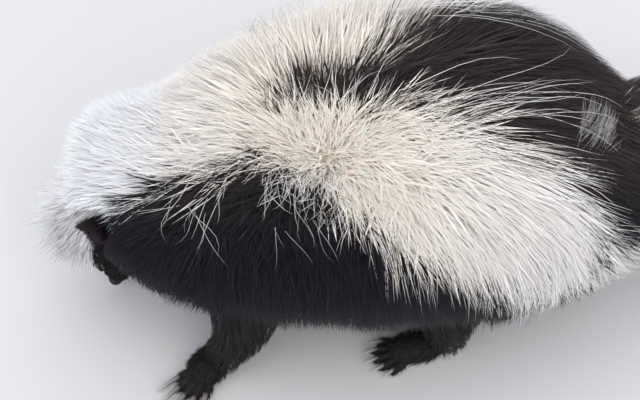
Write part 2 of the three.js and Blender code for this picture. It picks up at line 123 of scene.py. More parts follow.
# Legs: where each foot stands, how far it turns out, and the leg's outline from body to ankle
FOREFOOT = {"palm": (16, 13, 11), "toe": (9, 3.3, 4.4), "claw": 18, "claw_thick": 2.1, "spread": 0.2}
HINDFOOT = {"palm": (22, 12.5, 11.5), "toe": (8, 3.2, 4.4), "claw": 9, "claw_thick": 1.7, "spread": 0.16}
LEGS = [
    ("foreleg_left", "forefoot_left", FOREFOOT, (-78, -62), 0.9,
     [((-50, -34, 88), 25), ((-50, -46, 60), 22), ((-55, -54, 34), 18), ((-69, -57, 11), 14)]),
    ("foreleg_right", "forefoot_right", FOREFOOT, (-90, 58), -0.14,
     [((-56, 38, 88), 25), ((-59, 46, 60), 22), ((-67, 54, 34), 18), ((-78, 58, 11), 14)]),
    ("hindleg_left", "hindfoot_left", HINDFOOT, (57, -54), 0.24,
     [((76, -36, 88), 30), ((72, -46, 60), 24), ((73, -53, 34), 17.5), ((74, -52, 11), 13)]),
    ("hindleg_right", "hindfoot_right", HINDFOOT, (102, 66), -0.16,
     [((98, 42, 88), 30), ((100, 51, 60), 24), ((110, 61, 34), 17), ((116, 64, 11), 13)]),
]
TOES = (-2, -1, 0, 1, 2)
TOE_SET = {"ahead": 1.5, "back": 1.2, "apart": 1.8, "buried": 4}  # each toe's place and its claw's root
TOE_PAD = (3.4, 2.6, 2.2)
FUR_OF_PALM = 1.5
FUR_OF_TOE = 0.5
LEG_COAT = 5.0
THIGH_SECTIONS = 2
THIGH_DEEPER = 1.15
OFF_FLOOR = {"body": 14, "tail": 6, "legs": 2, "feet": 0.4}  # no hair comes lower

TAU = 2 * math.pi
MM = 0.001


def unit(vectors):
    """Vectors at length 1."""
    return vectors / (np.linalg.norm(vectors, axis=-1, keepdims=True) + 1e-12)


def lengths(vectors):
    return np.linalg.norm(vectors, axis=-1)


def fade(value, over=1.0):
    """0 up to a value of 0, 1 from a value of `over`, and a straight rise between them."""
    return np.clip(value / over, 0, 1)


def hill(value, wide):
    """1 at a value of 0, and less over about `wide` to both sides of it."""
    return np.exp(-(value / wide) ** 2)


def spun(x, y, turn):
    """The direction x, y turned by an angle."""
    return x * np.cos(turn) - y * np.sin(turn), x * np.sin(turn) + y * np.cos(turn)


def always(value):
    """A function that gives one value for every place."""
    return lambda first, *rest: value + 0 * first


def head_axes():
    """The head's forward, left and up directions as rows."""
    forward = unit(HEAD_FORWARD)
    up = unit(np.cross(forward, [0.0, -1.0, 0.0]))
    return np.array([forward, np.cross(up, forward), up])


HEAD_AXES = head_axes()


def from_head(points):
    """Points of the head's own frame in the animal's."""
    return HEAD_AT + np.asarray(points, float) @ HEAD_AXES


def to_head(points):
    return (np.asarray(points, float) - HEAD_AT) @ HEAD_AXES.T


def mirrored(spot, side):
    return np.asarray(spot, float) * np.array([1, side, 1])


def frame_shift():
    """How far the frame's origin lies from the stations', in metres, read from the left eye's solid."""
    low, high = (np.array(corner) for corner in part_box("eye_left"))
    shift = (low + high) / 2 - from_head(EYE_AT) * MM
    shift[2] = 0.0
    return shift


SHIFT = frame_shift()


def to_frame(points):
    """Points in millimetres set in the frame, in metres."""
    return np.asarray(points, float) * MM + SHIFT


FLOOR_COLOUR = (0.62, 0.61, 0.60, 1.0)
SKY_COLOUR = (0.88, 0.92, 1.0, 1.0)
SKY_STRENGTH = 1.15
LIGHTS = (  # name, place in metres, width in metres, watts and colour
    ("key", (-0.5, -0.1, 1.9), 3.0, 18.0, (1.0, 0.97, 0.94)),
    ("fill", (0.7, -1.4, 1.2), 1.8, 13.5, (1.0, 0.98, 0.97)),
)

# Camera, as the photograph was taken: from the animal's left side and well above it
CAMERA_AZIMUTH = math.radians(-3.0)
CAMERA_ELEVATION = math.radians(50.0)
CAMERA_DISTANCE = 0.640
CAMERA_FIELD = math.radians(34.0)
CAMERA_TARGET = (-4.0, 0.0, 92.0)


def placed(name, data):
    """A new object in the scene for a mesh, a camera or a light."""
    made = bpy.data.objects.new(name, data)
    bpy.context.scene.collection.objects.link(made)
    return made


def add_camera():
    data = bpy.data.cameras.new("camera")
    data.sensor_fit = "HORIZONTAL"
    data.angle = CAMERA_FIELD
    camera = placed("camera", data)
    flat = math.cos(CAMERA_ELEVATION)
    back = Vector((
        math.sin(CAMERA_AZIMUTH) * flat,
        -math.cos(CAMERA_AZIMUTH) * flat,
        math.sin(CAMERA_ELEVATION),
    ))
    camera.location = Vector(to_frame(CAMERA_TARGET)) + back * CAMERA_DISTANCE
    camera.rotation_euler = back.to_track_quat("Z", "Y").to_euler()
    bpy.context.scene.camera = camera


# Splines and trunks: bent bodies of oval sections
def spline(points, t):
    """A uniform Catmull-Rom curve through points, at shares t of the way."""
    points = np.asarray(points, float)
    t = np.clip(np.asarray(t, float), 0, 1)
    before, after = 2 * points[:1] - points[1:2], 2 * points[-1:] - points[-2:-1]
    knots = np.vstack([before, points, after])
    place = t * (len(points) - 1)
    i = np.minimum(np.floor(place).astype(int), len(points) - 2)
    w = (place - i)[..., None]
    p0, p1, p2, p3 = (knots[i + k] for k in range(4))
    m1, m2 = (p2 - p0) / 2, (p3 - p1) / 2
    return p1 + m1 * w + (-3 * p1 + 3 * p2 - 2 * m1 - m2) * w**2 + (2 * p1 - 2 * p2 + m1 + m2) * w**3


class Trunk:
    """A bent body of oval sections. Its angle is 0 at the top and rises over the left side."""

    def __init__(self, stations, top=(0.0, 0.0, 1.0), under=1.0, across=None, closing=None):
        self.centres = np.array([s[0] for s in stations], float)
        self.sizes = np.array([s[1:] for s in stations], float)
        self.top = np.array(top)
        self.under = under
        self.across = across
        self.closing = closing or ((0.0, 1.0), (0.0, 1.0))
        line = spline(self.centres, np.linspace(0, 1, 201))
        self.length = lengths(np.diff(line, axis=0)).sum()

    def at(self, share):
        """Centre, along, side, up and sizes. Past an end the body goes on straight and closes."""
        share = np.asarray(share, float)
        held = np.clip(share, 0, 1)
        step = 1e-4
        along = unit(spline(self.centres, held + step) - spline(self.centres, held - step))
        past = (share - held) * self.length
        centre = spline(self.centres, held) + along * past[..., None]
        facing = np.broadcast_to(self.across, along.shape) if self.across is not None else along
        side = unit(np.cross(self.top, facing))
        (low, low_run), (high, high_run) = self.closing
        close = 1 - low * np.clip(-past / low_run, 0, 1) - high * np.clip(past / high_run, 0, 1)
        return centre, along, side, np.cross(facing, side), spline(self.sizes, held) * close[..., None]

    def coat(self, share, angle):
        """The coat's depth, less under the belly."""
        belly = (1 - np.cos(angle)) / 2
        return self.at(share)[4][..., 2] * (1 + (self.under - 1) * belly)

    def point(self, share, angle, inset=0.0):
        """A point that lies `inset` millimetres under the outline."""
        centre, _, side, up, sizes = self.at(share)
        across = (np.sin(angle) * (sizes[..., 0] - inset))[..., None]
        over = (np.cos(angle) * (sizes[..., 1] - inset))[..., None]
        return centre + side * across + up * over

    def nearest(self, points):
        """Share and angle of points that are given in the trunk's own frame."""
        shares = np.linspace(-0.1, 1.15, 126)
        centre = self.at(shares)[0]
        gap = ((points[:, None, :] - centre[None]) ** 2).sum(-1)
        share = shares[gap.argmin(1)]
        centre, _, side, up, sizes = self.at(share)
        off = points - centre
        across = (off * side).sum(-1) / sizes[:, 0]
        over = (off * up).sum(-1) / sizes[:, 1]
        return share, np.arctan2(across, over)

    def loft(self, low, high, inset, sides=48, rows=40, ends=(0.2, 0.2)):
        """Vertices and faces of the closed body between two shares."""
        along = np.linspace(0, 1, rows + 1)
        rise = np.minimum(np.minimum(along / ends[0], (1 - along) / ends[1]), 1)
        full = np.sqrt(1 - (1 - rise) ** 2)
        share = (low + (high - low) * along)[:, None]
        angle = (np.arange(sides) / sides * TAU)[None, :]
        share, angle = np.broadcast_arrays(share, angle)
        rim = self.point(share, angle, inset(share, angle))
        middle = self.at(share)[0]
        return closed_grid(middle + (rim - middle) * full[:, None, None])


def closed_grid(grid):
    """A grid of rings as one closed mesh, with its first and last rings drawn to points."""
    rows, sides = grid.shape[:2]
    verts = np.vstack([grid[0].mean(0)[None], grid[1:-1].reshape(-1, 3), grid[-1].mean(0)[None]])
    last = len(verts) - 1
    faces = []
    for k in range(sides):
        after = (k + 1) % sides
        faces.append((0, 1 + k, 1 + after))
        faces.append((last, last - sides + after, last - sides + k))
        for row in range(rows - 3):
            a = 1 + row * sides
            faces.append((a + k, a + sides + k, a + sides + after, a + after))
    return verts, faces


def ovoid(at, size, place=from_head, sides=24, rows=16):
    """Vertices and faces of an ellipsoid."""
    lift = np.linspace(0, math.pi, rows + 1)[:, None]
    turn = (np.arange(sides) / sides * TAU)[None, :]
    grid = np.stack([np.cos(lift) + 0 * turn, np.sin(lift) * np.cos(turn), np.sin(lift) * np.sin(turn)], -1)
    return closed_grid(place(grid * size + np.asarray(at, float)))


def limb_trunk(bones):
    """A leg's outline, deeper than wide at its upper sections."""
    stations = [
        (at, half, half * (THIGH_DEEPER if i < THIGH_SECTIONS else 1.0), LEG_COAT)
        for i, (at, half) in enumerate(bones)
    ]
    return Trunk(stations, top=(1.0, 0.0, 0.0), across=np.array([0.0, 0.0, -1.0]))


def turned(angle):
    """The axes of a frame that is turned about the vertical."""
    c, s = math.cos(angle), math.sin(angle)
    return np.array([[c, s, 0], [-s, c, 0], [0, 0, 1]])


def foot_place(stands, turn):
    """The function that sets a foot's own points in the animal's frame."""
    return lambda points: np.asarray(points, float) @ turned(math.pi + turn) + np.array([*stands, 0.0])


def fanned(place, step, spread):
    """The same for one toe, which is turned from the foot's middle line."""
    return lambda points: place(np.asarray(points, float) @ turned(step * spread))


body = Trunk(BODY_STATIONS, under=BELLY_COAT, closing=((0.5, 60.0), (0.45, 32.0)))
tail = Trunk(TAIL_STATIONS)
skull = Trunk(HEAD_STATIONS)


# Meshes and objects
def mesh_object(name, verts, faces):
    """A new object in the frame from vertices in millimetres."""
    mesh = bpy.data.meshes.new(name)
    mesh.from_pydata(to_frame(verts).tolist(), [], faces)
    mesh.update()
    mesh.polygons.foreach_set("use_smooth", [True] * len(mesh.polygons))
    return placed(name, mesh)


def joined(parts):
    """Several lists of vertices and faces as one."""
    verts, faces, count = [], [], 0
    for part_verts, part_faces in parts:
        verts.append(np.asarray(part_verts))
        faces += [tuple(i + count for i in face) for face in part_faces]
        count += len(part_verts)
    return np.vstack(verts), faces


def remeshed(name, parts, voxel, smooth):
    """The parts grown together into one smooth mesh. Gives its vertices and faces in millimetres."""
    made = mesh_object(name, *joined(parts))
    grow = made.modifiers.new("grow", "REMESH")
    grow.mode = "VOXEL"
    grow.voxel_size = voxel * MM
    soften = made.modifiers.new("soften", "SMOOTH")
    soften.iterations = smooth
    soften.factor = 0.5
    shown = made.evaluated_get(bpy.context.evaluated_depsgraph_get()).to_mesh()
    verts = np.empty(len(shown.vertices) * 3)
    shown.vertices.foreach_get("co", verts)
    faces = [tuple(p.vertices) for p in shown.polygons]
    bpy.data.objects.remove(made)
    return (verts.reshape(-1, 3) - SHIFT) / MM, faces


def point_values(mesh, name, values):
    attribute = mesh.attributes.new(name, "FLOAT", "POINT")
    attribute.data.foreach_set("value", np.asarray(values, np.float32))


# Markings: a white cap and nape that fork into two stripes round a black back. The tables hold shares of the
# body or the head, and the angles of the borders there.
BACK_LEFT = [(0.0, 1.22), (0.1, 1.04), (0.2, 0.8), (0.28, 0.58), (0.36, 0.46), (0.44, 0.4), (0.5, 0.34),
             (0.53, 0.3), (0.56, 0.25), (0.59, 0.19), (0.61, 0.06)]
BACK_RIGHT = [(0.0, -1.35), (0.1, -1.15), (0.2, -0.98), (0.25, -0.8), (0.3, -0.55), (0.33, -0.38),
              (0.37, -0.22), (0.4, -0.14), (0.44, -0.07), (0.47, 0.0), (0.5, 0.08), (0.53, 0.11),
              (0.56, 0.13), (0.59, 0.16), (0.61, 0.3)]
WHITE_TO = [(0.0, 1.5), (0.1, 1.52), (0.2, 1.42), (0.3, 1.34), (0.36, 1.25), (0.42, 1.15), (0.47, 1.03),
            (0.5, 0.95), (0.54, 0.82), (0.57, 0.7), (0.6, 0.61), (0.64, 0.55), (0.68, 0.52), (0.72, 0.53),
            (0.76, 0.6), (0.82, 0.76), (0.9, 0.95), (1.0, 1.1)]
WHITE_TO_RIGHT = [(0.0, 0.0), (0.42, 0.9), (0.52, 0.96), (0.85, 0.98), (1.0, 1.1)]
CROWN_WHITE = [(0.0, 1.2), (0.3, 1.1), (0.5, 0.92), (0.62, 0.62), (0.74, 0.25), (0.84, 0.12), (0.9, -0.1)]
BELLY_UP_TO = 50  # the skin is black under this height
TAIL_BEHIND = 140  # the skin's marks are the tail's behind this place
SOLE_UP_TO = 2.2  # the skin is bare under this height

# What each zone of the body adds to its hair's length and to the rise of its tips, in millimetres
HAIR_LONG = {"everywhere": 40, "behind": 26, "front": -10, "belly": -16, "nape": -14, "rump": 28}
HAIR_RISE = {"everywhere": 1.5, "behind": 1.5, "nape_top": 6, "nape_side": -8, "rump": 18, "low": 3}
# Steps that never repeat, for places that fill a box evenly, and how far a seed moves each
EVEN_STEPS = ((0.7548776662466927, 1.0), (0.5698402909980532, 0.37), (0.6180339887498949, 0.0))
# Loose hairs that lie over the coat: how many on a side, the share and the angle that they start at, how far
# they run along the body and round it in millimetres, how unruly, how thick and how white they are
STRAYS = [
    (16, (0.68, 0.80), (0.66, 0.86), (14, 24), 0.5, 0.32, 0.9),
    (48, (0.52, 0.63), (0.62, 0.80), (3, 13), 0.6, 0.3, 0.8),
    (10, (0.55, 0.64), (0.85, 1.05), (-4, 18), 0.3, 0.28, 0.5),
    (20, (0.20, 0.42), (0.30, 0.48), (-58, -3), 0.2, 0.32, 0.95),
    (30, (0.04, 0.20), (1.20, 1.62), (-28, 40), 0.2, 0.42, 1.0),
    (8, (0.44, 0.52), (0.24, 0.36), (-3, -12), 0.6, 0.32, 1.0),
    (120, (0.04, 0.13), (0.42, 0.62), (-5, -17), 0.22, 0.22, 0.45),
]


def steps(table, share):
    return np.interp(share, *zip(*table))


def wander(share, angle, seed=0.0):
    """A smooth, uneven drift that makes borders ragged."""
    return (
        0.04 * np.sin(31 * share + 3 * angle + seed)
        + 0.03 * np.sin(67 * share - 5 * angle + 2 * seed)
        + 0.02 * np.sin(140 * share + 11 * angle)
    )


def white_edge(share, angle):
    """The angle at which the white of the body ends. It is broader on the right shoulder."""
    edge = steps(WHITE_TO, share)
    return np.where(angle > 0, edge, np.maximum(edge, steps(WHITE_TO_RIGHT, share)))


def body_mark(share, angle, ragged=0.0):
    """1 where the coat of the body is white, and 0 where it is black."""
    drift = wander(share, angle) + ragged
    left, right = steps(BACK_LEFT, share), steps(BACK_RIGHT, share)
    off_back = np.abs(angle - (left + right) / 2) + drift > (left - right) / 2
    return (off_back & (np.abs(angle) + drift < white_edge(share, angle))).astype(float)


def tail_mark(share, angle, ragged=0.0):
    """The tail is black, with a white tuft on top near its root."""
    off = np.hypot((share - 0.105) / 0.055, (angle + 0.15 + ragged) / 0.42)
    return (off < 1).astype(float)


def head_mark(share, angle, ragged=0.0):
    away = np.abs(angle) + wander(share, angle, 1.0) * 0.7 + ragged
    return (away < steps(CROWN_WHITE, share)).astype(float)


def body_tone(share, angle):
    """White hair is creamy (0) at the withers and bluish (1) on the nape. Black is brown (0) on the back to
    blue (1) on the flanks and belly; coat_look makes the brown lighter and the blue darker, partly the
    coat's own tone and partly painted sheen on the back and painted shade on the flanks.
    """
    cool = 0.1 + 0.9 * fade(share - 0.6, 0.25) + 0.5 * fade(0.46 - share, 0.2)
    return np.where(body_mark(share, angle) > 0, cool, np.clip((np.abs(angle) - 0.4) / 0.6, 0.1, 1))


# Materials
class Look:
    """A material, with the nodes that work out its colour and relief."""

    def __init__(self, name, roughness, specular=0.3, sheen=0.0):
        self.made = bpy.data.materials.new(name)
        self.made.use_nodes = True
        self.tree = self.made.node_tree
        self.shader = self.tree.nodes["Principled BSDF"].inputs
        self.shader["Roughness"].default_value = roughness
        self.shader["Specular IOR Level"].default_value = specular
        self.shader["Sheen Weight"].default_value = sheen

    def node(self, kind, **values):
        made = self.tree.nodes.new(kind)
        for key, value in values.items():
            if key in made.inputs:
                made.inputs[key].default_value = value
            else:
                setattr(made, key, value)
        return made

    def attribute(self, name):
        return self.node("ShaderNodeAttribute", attribute_name=name).outputs["Fac"]

    def noise(self, scale, detail):
        return self.node("ShaderNodeTexNoise", Scale=scale, Detail=detail).outputs["Fac"]

    def ramp(self, value, *stops):
        """A colour ramp over a value, from (place, colour) pairs."""
        made = self.node("ShaderNodeValToRGB")
        elements = made.color_ramp.elements
        while len(elements) < len(stops):
            elements.new(0.5)
        for element, (place, colour) in zip(elements, stops):
            element.position = place
            element.color = (*colour, 1.0)
        self.tree.links.new(value, made.inputs["Fac"])
        return made.outputs["Color"]

    def blend(self, first, second, share=None):
        """The second colour over the first by a share, or multiplied with it where there is no share."""
        made = self.node("ShaderNodeMix", data_type="RGBA")
        if share is None:
            made.blend_type = "MULTIPLY"
            made.inputs[0].default_value = 1.0
        else:
            self.tree.links.new(share, made.inputs[0])
        self.tree.links.new(first, made.inputs[6])
        self.tree.links.new(second, made.inputs[7])
        return made.outputs[2]

    def paint(self, colour):
        self.tree.links.new(colour, self.shader["Base Color"])

    def bump(self, height, strength, distance, invert=False):
        made = self.node("ShaderNodeBump", Strength=strength, Distance=distance, invert=invert)
        self.tree.links.new(height, made.inputs["Height"])
        self.tree.links.new(made.outputs["Normal"], self.shader["Normal"])


def coat_look():
    """Fur: white hair, a little darker at its root as painted shade deep in the coat, and black hair, each
    hair with a tone of its own.
    """
    look = Look("fur", roughness=0.6, specular=0.15, sheen=0.05)
    along, rand, tone = (look.attribute(name) for name in ("along", "rand", "tone"))
    # The white ramps run darker towards the root: painted shade where the hairs shade each other deep in the
    # coat.
    cream = look.ramp(along, (0.0, (0.93, 0.82, 0.66)), (0.4, (0.96, 0.87, 0.74)), (1.0, (0.98, 0.91, 0.80)))
    cool = look.ramp(along, (0.0, (0.91, 0.91, 0.92)), (0.4, (0.94, 0.94, 0.96)), (1.0, (0.95, 0.96, 0.98)))
    worn = look.ramp(rand, (0.0, (0.92, 0.90, 0.89)), (0.4, (0.98, 0.97, 0.97)), (1.0, (1.0, 1.0, 1.0)))
    white = look.blend(look.blend(cream, cool, tone), worn)
    # Black runs from a lighter brown to a darker blue by tone: partly the coat's own tone, partly painted
    # sheen on the back and the tail and painted shade on the flanks.
    brown = look.ramp(
        rand, (0.0, (0.014, 0.010, 0.010)), (0.8, (0.036, 0.027, 0.026)), (1.0, (0.09, 0.07, 0.068)))
    blue = look.ramp(
        rand, (0.0, (0.004, 0.004, 0.006)), (0.9, (0.009, 0.009, 0.013)), (1.0, (0.025, 0.026, 0.034)))
    look.paint(look.blend(look.blend(brown, blue, tone), white, look.attribute("mark")))
    return look.made


def skin_look():
    """The skin under the coat: dull and dark, pale under the white hair, leathery on the soles."""
    look = Look("skin", roughness=0.7, specular=0.2)
    noise = look.noise(900.0, 4.0)
    dark = look.ramp(noise, (0.3, (0.010, 0.008, 0.008)), (0.7, (0.030, 0.024, 0.022)))
    pale = look.ramp(noise, (0.3, (0.80, 0.73, 0.65)), (0.7, (0.88, 0.82, 0.74)))
    bare = look.ramp(noise, (0.3, (0.10, 0.06, 0.055)), (0.7, (0.19, 0.12, 0.11)))
    look.paint(look.blend(look.blend(dark, pale, look.attribute("mark")), bare, look.attribute("bare")))
    look.bump(noise, 0.5, 0.0004)
    return look.made


def nose_look():
    look = Look("nose_leather", roughness=0.42, specular=0.3)
    # The cells are paler in their raised middles and darker in the grooves between them: painted shade in
    # the grooves.
    cells = look.node("ShaderNodeTexVoronoi", Scale=2600.0).outputs["Distance"]
    look.paint(look.ramp(cells, (0.0, (0.030, 0.022, 0.021)), (0.7, (0.009, 0.007, 0.007))))
    look.bump(cells, 0.6, 0.0002, invert=True)
    return look.made


def eye_look():
    look = Look("eye_dark", roughness=0.06, specular=0.6)
    look.shader["Coat Weight"].default_value = 1.0
    look.shader["Coat Roughness"].default_value = 0.03
    flecks = look.noise(700.0, 2.0)
    look.paint(look.ramp(flecks, (0.35, (0.004, 0.003, 0.003)), (0.75, (0.020, 0.011, 0.007))))
    return look.made


def claw_look():
    """Grey horn, paler towards the tips, with a fine grain."""
    look = Look("horn", roughness=0.38, specular=0.45)
    grain = look.noise(1500.0, 5.0)
    horn = look.ramp(look.attribute("along"),
                     (0.0, (0.10, 0.085, 0.075)), (0.5, (0.30, 0.28, 0.26)), (1.0, (0.58, 0.56, 0.53)))
    look.paint(look.blend(horn, look.ramp(grain, (0.3, (0.7, 0.7, 0.7)), (0.7, (1.0, 1.0, 1.0)))))
    look.bump(grain, 0.3, 0.0002)
    return look.made


def dress(piece, look):
    """Gives a new piece its material and lets it ride on the only body."""
    piece.data.materials.append(look)
    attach(piece, "root")
    return piece


# The skin: one soft form for all the flesh
def ear(side):
    """An ear's middle, the way it opens, its tall axis and its broad axis, in the head's frame."""
    out = unit(mirrored(EAR_OUT, side))
    top = mirrored(EAR_TOP, side)
    up = unit(top - out * np.dot(top, out))
    return mirrored(EAR_AT, side) + out + EAR_RAISED * up, out, up, np.cross(up, out)


def ear_cup(side):
    """An ear as a bowl with a rounded rim."""
    wide, tall, deep = EAR_SIZE
    middle, out, up, across = ear(side)
    turn = np.arange(28) / 28 * TAU
    lobe = 1 + 0.06 * np.cos(turn * 2 + 0.6)
    rings = [
        np.outer(np.cos(turn) * lobe * radius * wide, across)
        + np.outer(np.sin(turn) * lobe * radius * tall, up)
        + depth * deep * out
        for radius, depth in EAR_PROFILE
    ]
    return closed_grid(from_head(np.array(rings) + middle))


def head_parts():
    verts, faces = skull.loft(0, 1, skull.coat, sides=64, rows=60, ends=(0.25, 0.12))
    parts = [(from_head(verts), faces)]
    for side in (1, -1):
        parts += [ovoid(mirrored(at, side), size) for at, size in HEAD_PAIRS]
        parts.append(ear_cup(side))
    return parts + [ovoid(at, size) for at, size in HEAD_MIDDLE]


def toes(foot, stands, turn):
    """For each toe: how far ahead and aside its middle lies, and the function that sets it in place."""
    place = foot_place(stands, turn)
    for step in TOES:
        ahead = foot["palm"][0] - TOE_SET["back"] * step * step + TOE_SET["ahead"]
        yield ahead, step * TOE_SET["apart"], fanned(place, step, foot["spread"])


def foot_parts(foot, stands, turn):
    """A foot's palm and toes, each with its pad."""
    place = foot_place(stands, turn)
    palm, toe = np.array(foot["palm"]), np.array(foot["toe"])
    parts = [ovoid((0, 0, palm[2] * 0.6), palm - FUR_OF_PALM, place)]
    for ahead, aside, toe_place in toes(foot, stands, turn):
        parts.append(ovoid((ahead, aside, toe[2] * 0.85), toe - FUR_OF_TOE, toe_place))
        parts.append(ovoid((ahead + toe[0] * 0.55, aside, toe[2] * 0.5), TOE_PAD, toe_place))
    parts.append(ovoid((palm[0] * 0.35, 0, 2.6), (palm[0] * 0.42, palm[1] * 0.62, 2.9), place))
    return parts


def mouth_line():
    """Points along the mouth from corner to corner, in the head's frame."""
    half = skull.point(np.linspace(*MOUTH_SHARES, 12), np.linspace(*MOUTH_ANGLES, 12), 1.0)
    front = skull.at(np.array([MOUTH_FRONT]))[0] + MOUTH_DROP
    return np.vstack([half, front, (half * np.array([1, -1, 1]))[::-1]])


def to_line(points, line):
    """Distance of each point from a line of points."""
    best = np.full(len(points), np.inf)
    for a, b in zip(line[:-1], line[1:]):
        step = b - a
        share = fade((points - a) @ step, step @ step)
        best = np.minimum(best, lengths(points - a - share[:, None] * step))
    return best


def press_mouth(verts):
    """Presses the line of the mouth into the head and raises its lips."""
    local = to_head(verts)
    gap = to_line(local, mouth_line())
    centre = np.stack([local[:, 0] - 4, 0 * local[:, 0], np.full(len(local), -4.0)], -1)
    move = -MOUTH_DEEP * fade(1 - gap / MOUTH_DEEP) + LIP_HIGH * hill(gap - 2.2, 0.8)
    return from_head(local + unit(local - centre) * move[:, None])


def lid_parts(side):
    """The two lids of an eye: tapered folds that meet at its corners."""
    out = unit(mirrored(EYE_OUT, side))
    along = unit(np.array([1.0, 0, 0]) - out * out[0])
    over = np.cross(out, along) * side
    ring = np.arange(10) / 10 * TAU
    parts = []
    for opening, thick in LIDS:
        turn = np.linspace(-0.05, math.pi + 0.05, 22)
        x, y = LID_REACH * np.cos(turn), opening * np.sin(turn)
        rise = np.sqrt(np.maximum(1.0, (EYE_RADIUS + 0.15) ** 2 - x**2 - y**2))
        path = mirrored(EYE_AT, side) + rise[:, None] * out + x[:, None] * along + y[:, None] * over
        girth = (thick * (0.45 + 0.55 * np.sin(np.clip(turn, 0, math.pi))))[:, None, None]
        tangent = unit(np.gradient(path, axis=0))
        across = unit(np.cross(tangent, out))
        face = np.cross(across, tangent)
        spin = across[:, None] * np.cos(ring)[None, :, None] + face[:, None] * np.sin(ring)[None, :, None]
        grid = path[:, None] + spin * girth
        tips = [np.repeat(grid[i].mean(0)[None, None], 10, 1) for i in (0, -1)]
        parts.append(closed_grid(from_head(np.concatenate([tips[0], grid, tips[1]]))))
    return parts


def build_skin(look):
    """The skin. Gives the torso's, the head's and the feet's surfaces for the hair to grow on."""
    def flesh(trunk):
        return lambda share, angle: FLESH_DEPTH * trunk.coat(share, angle) + 0.5

    trunk_parts = [
        body.loft(0.0, 0.97, flesh(body), sides=64, rows=48),
        tail.loft(-0.1, 0.97, flesh(tail), sides=40, rows=40, ends=(0.1, 0.3)),
    ]
    feet = []
    for _, _, foot, stands, turn, bones in LEGS:
        limb = limb_trunk(bones)
        trunk_parts.append(limb.loft(0, 0.97, lambda s, a: LEG_COAT * (1.4 - s), rows=24, ends=(0.25, 0.1)))
        feet.append(remeshed("foot", foot_parts(foot, stands, turn), 0.8, 4))
    torso = remeshed("torso_form", trunk_parts, 2.6, 6)
    head = remeshed("head_form", head_parts(), 0.8, 5)
    head = (press_mouth(head[0]), head[1])
    verts, faces = joined([torso, head, *feet, *lid_parts(1), *lid_parts(-1)])
    verts[:, 2] = np.maximum(verts[:, 2], 0.0)
    skin = mesh_object("skin", verts, faces)
    spots = torso[0]
    on_body = body_mark(*body.nearest(spots)) * (spots[:, 2] > BELLY_UP_TO)
    on_torso = np.where(spots[:, 0] > TAIL_BEHIND, tail_mark(*tail.nearest(spots)), on_body)
    local = to_head(head[0])
    on_head = head_mark(*skull.nearest(local)) * ~in_ear_zone(local)
    black = np.zeros(len(verts) - len(on_torso) - len(on_head))
    point_values(skin.data, "mark", np.concatenate([on_torso, on_head, black]))
    point_values(skin.data, "bare", (verts[:, 2] < SOLE_UP_TO).astype(float))
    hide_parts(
        "head", "ear_left", "ear_right", "neck", "torso", "tail_base", "tail_middle", "tail_tip",
        *(name for leg in LEGS for name in leg[:2]),
    )
    dress(skin, look)
    return torso, head, feet


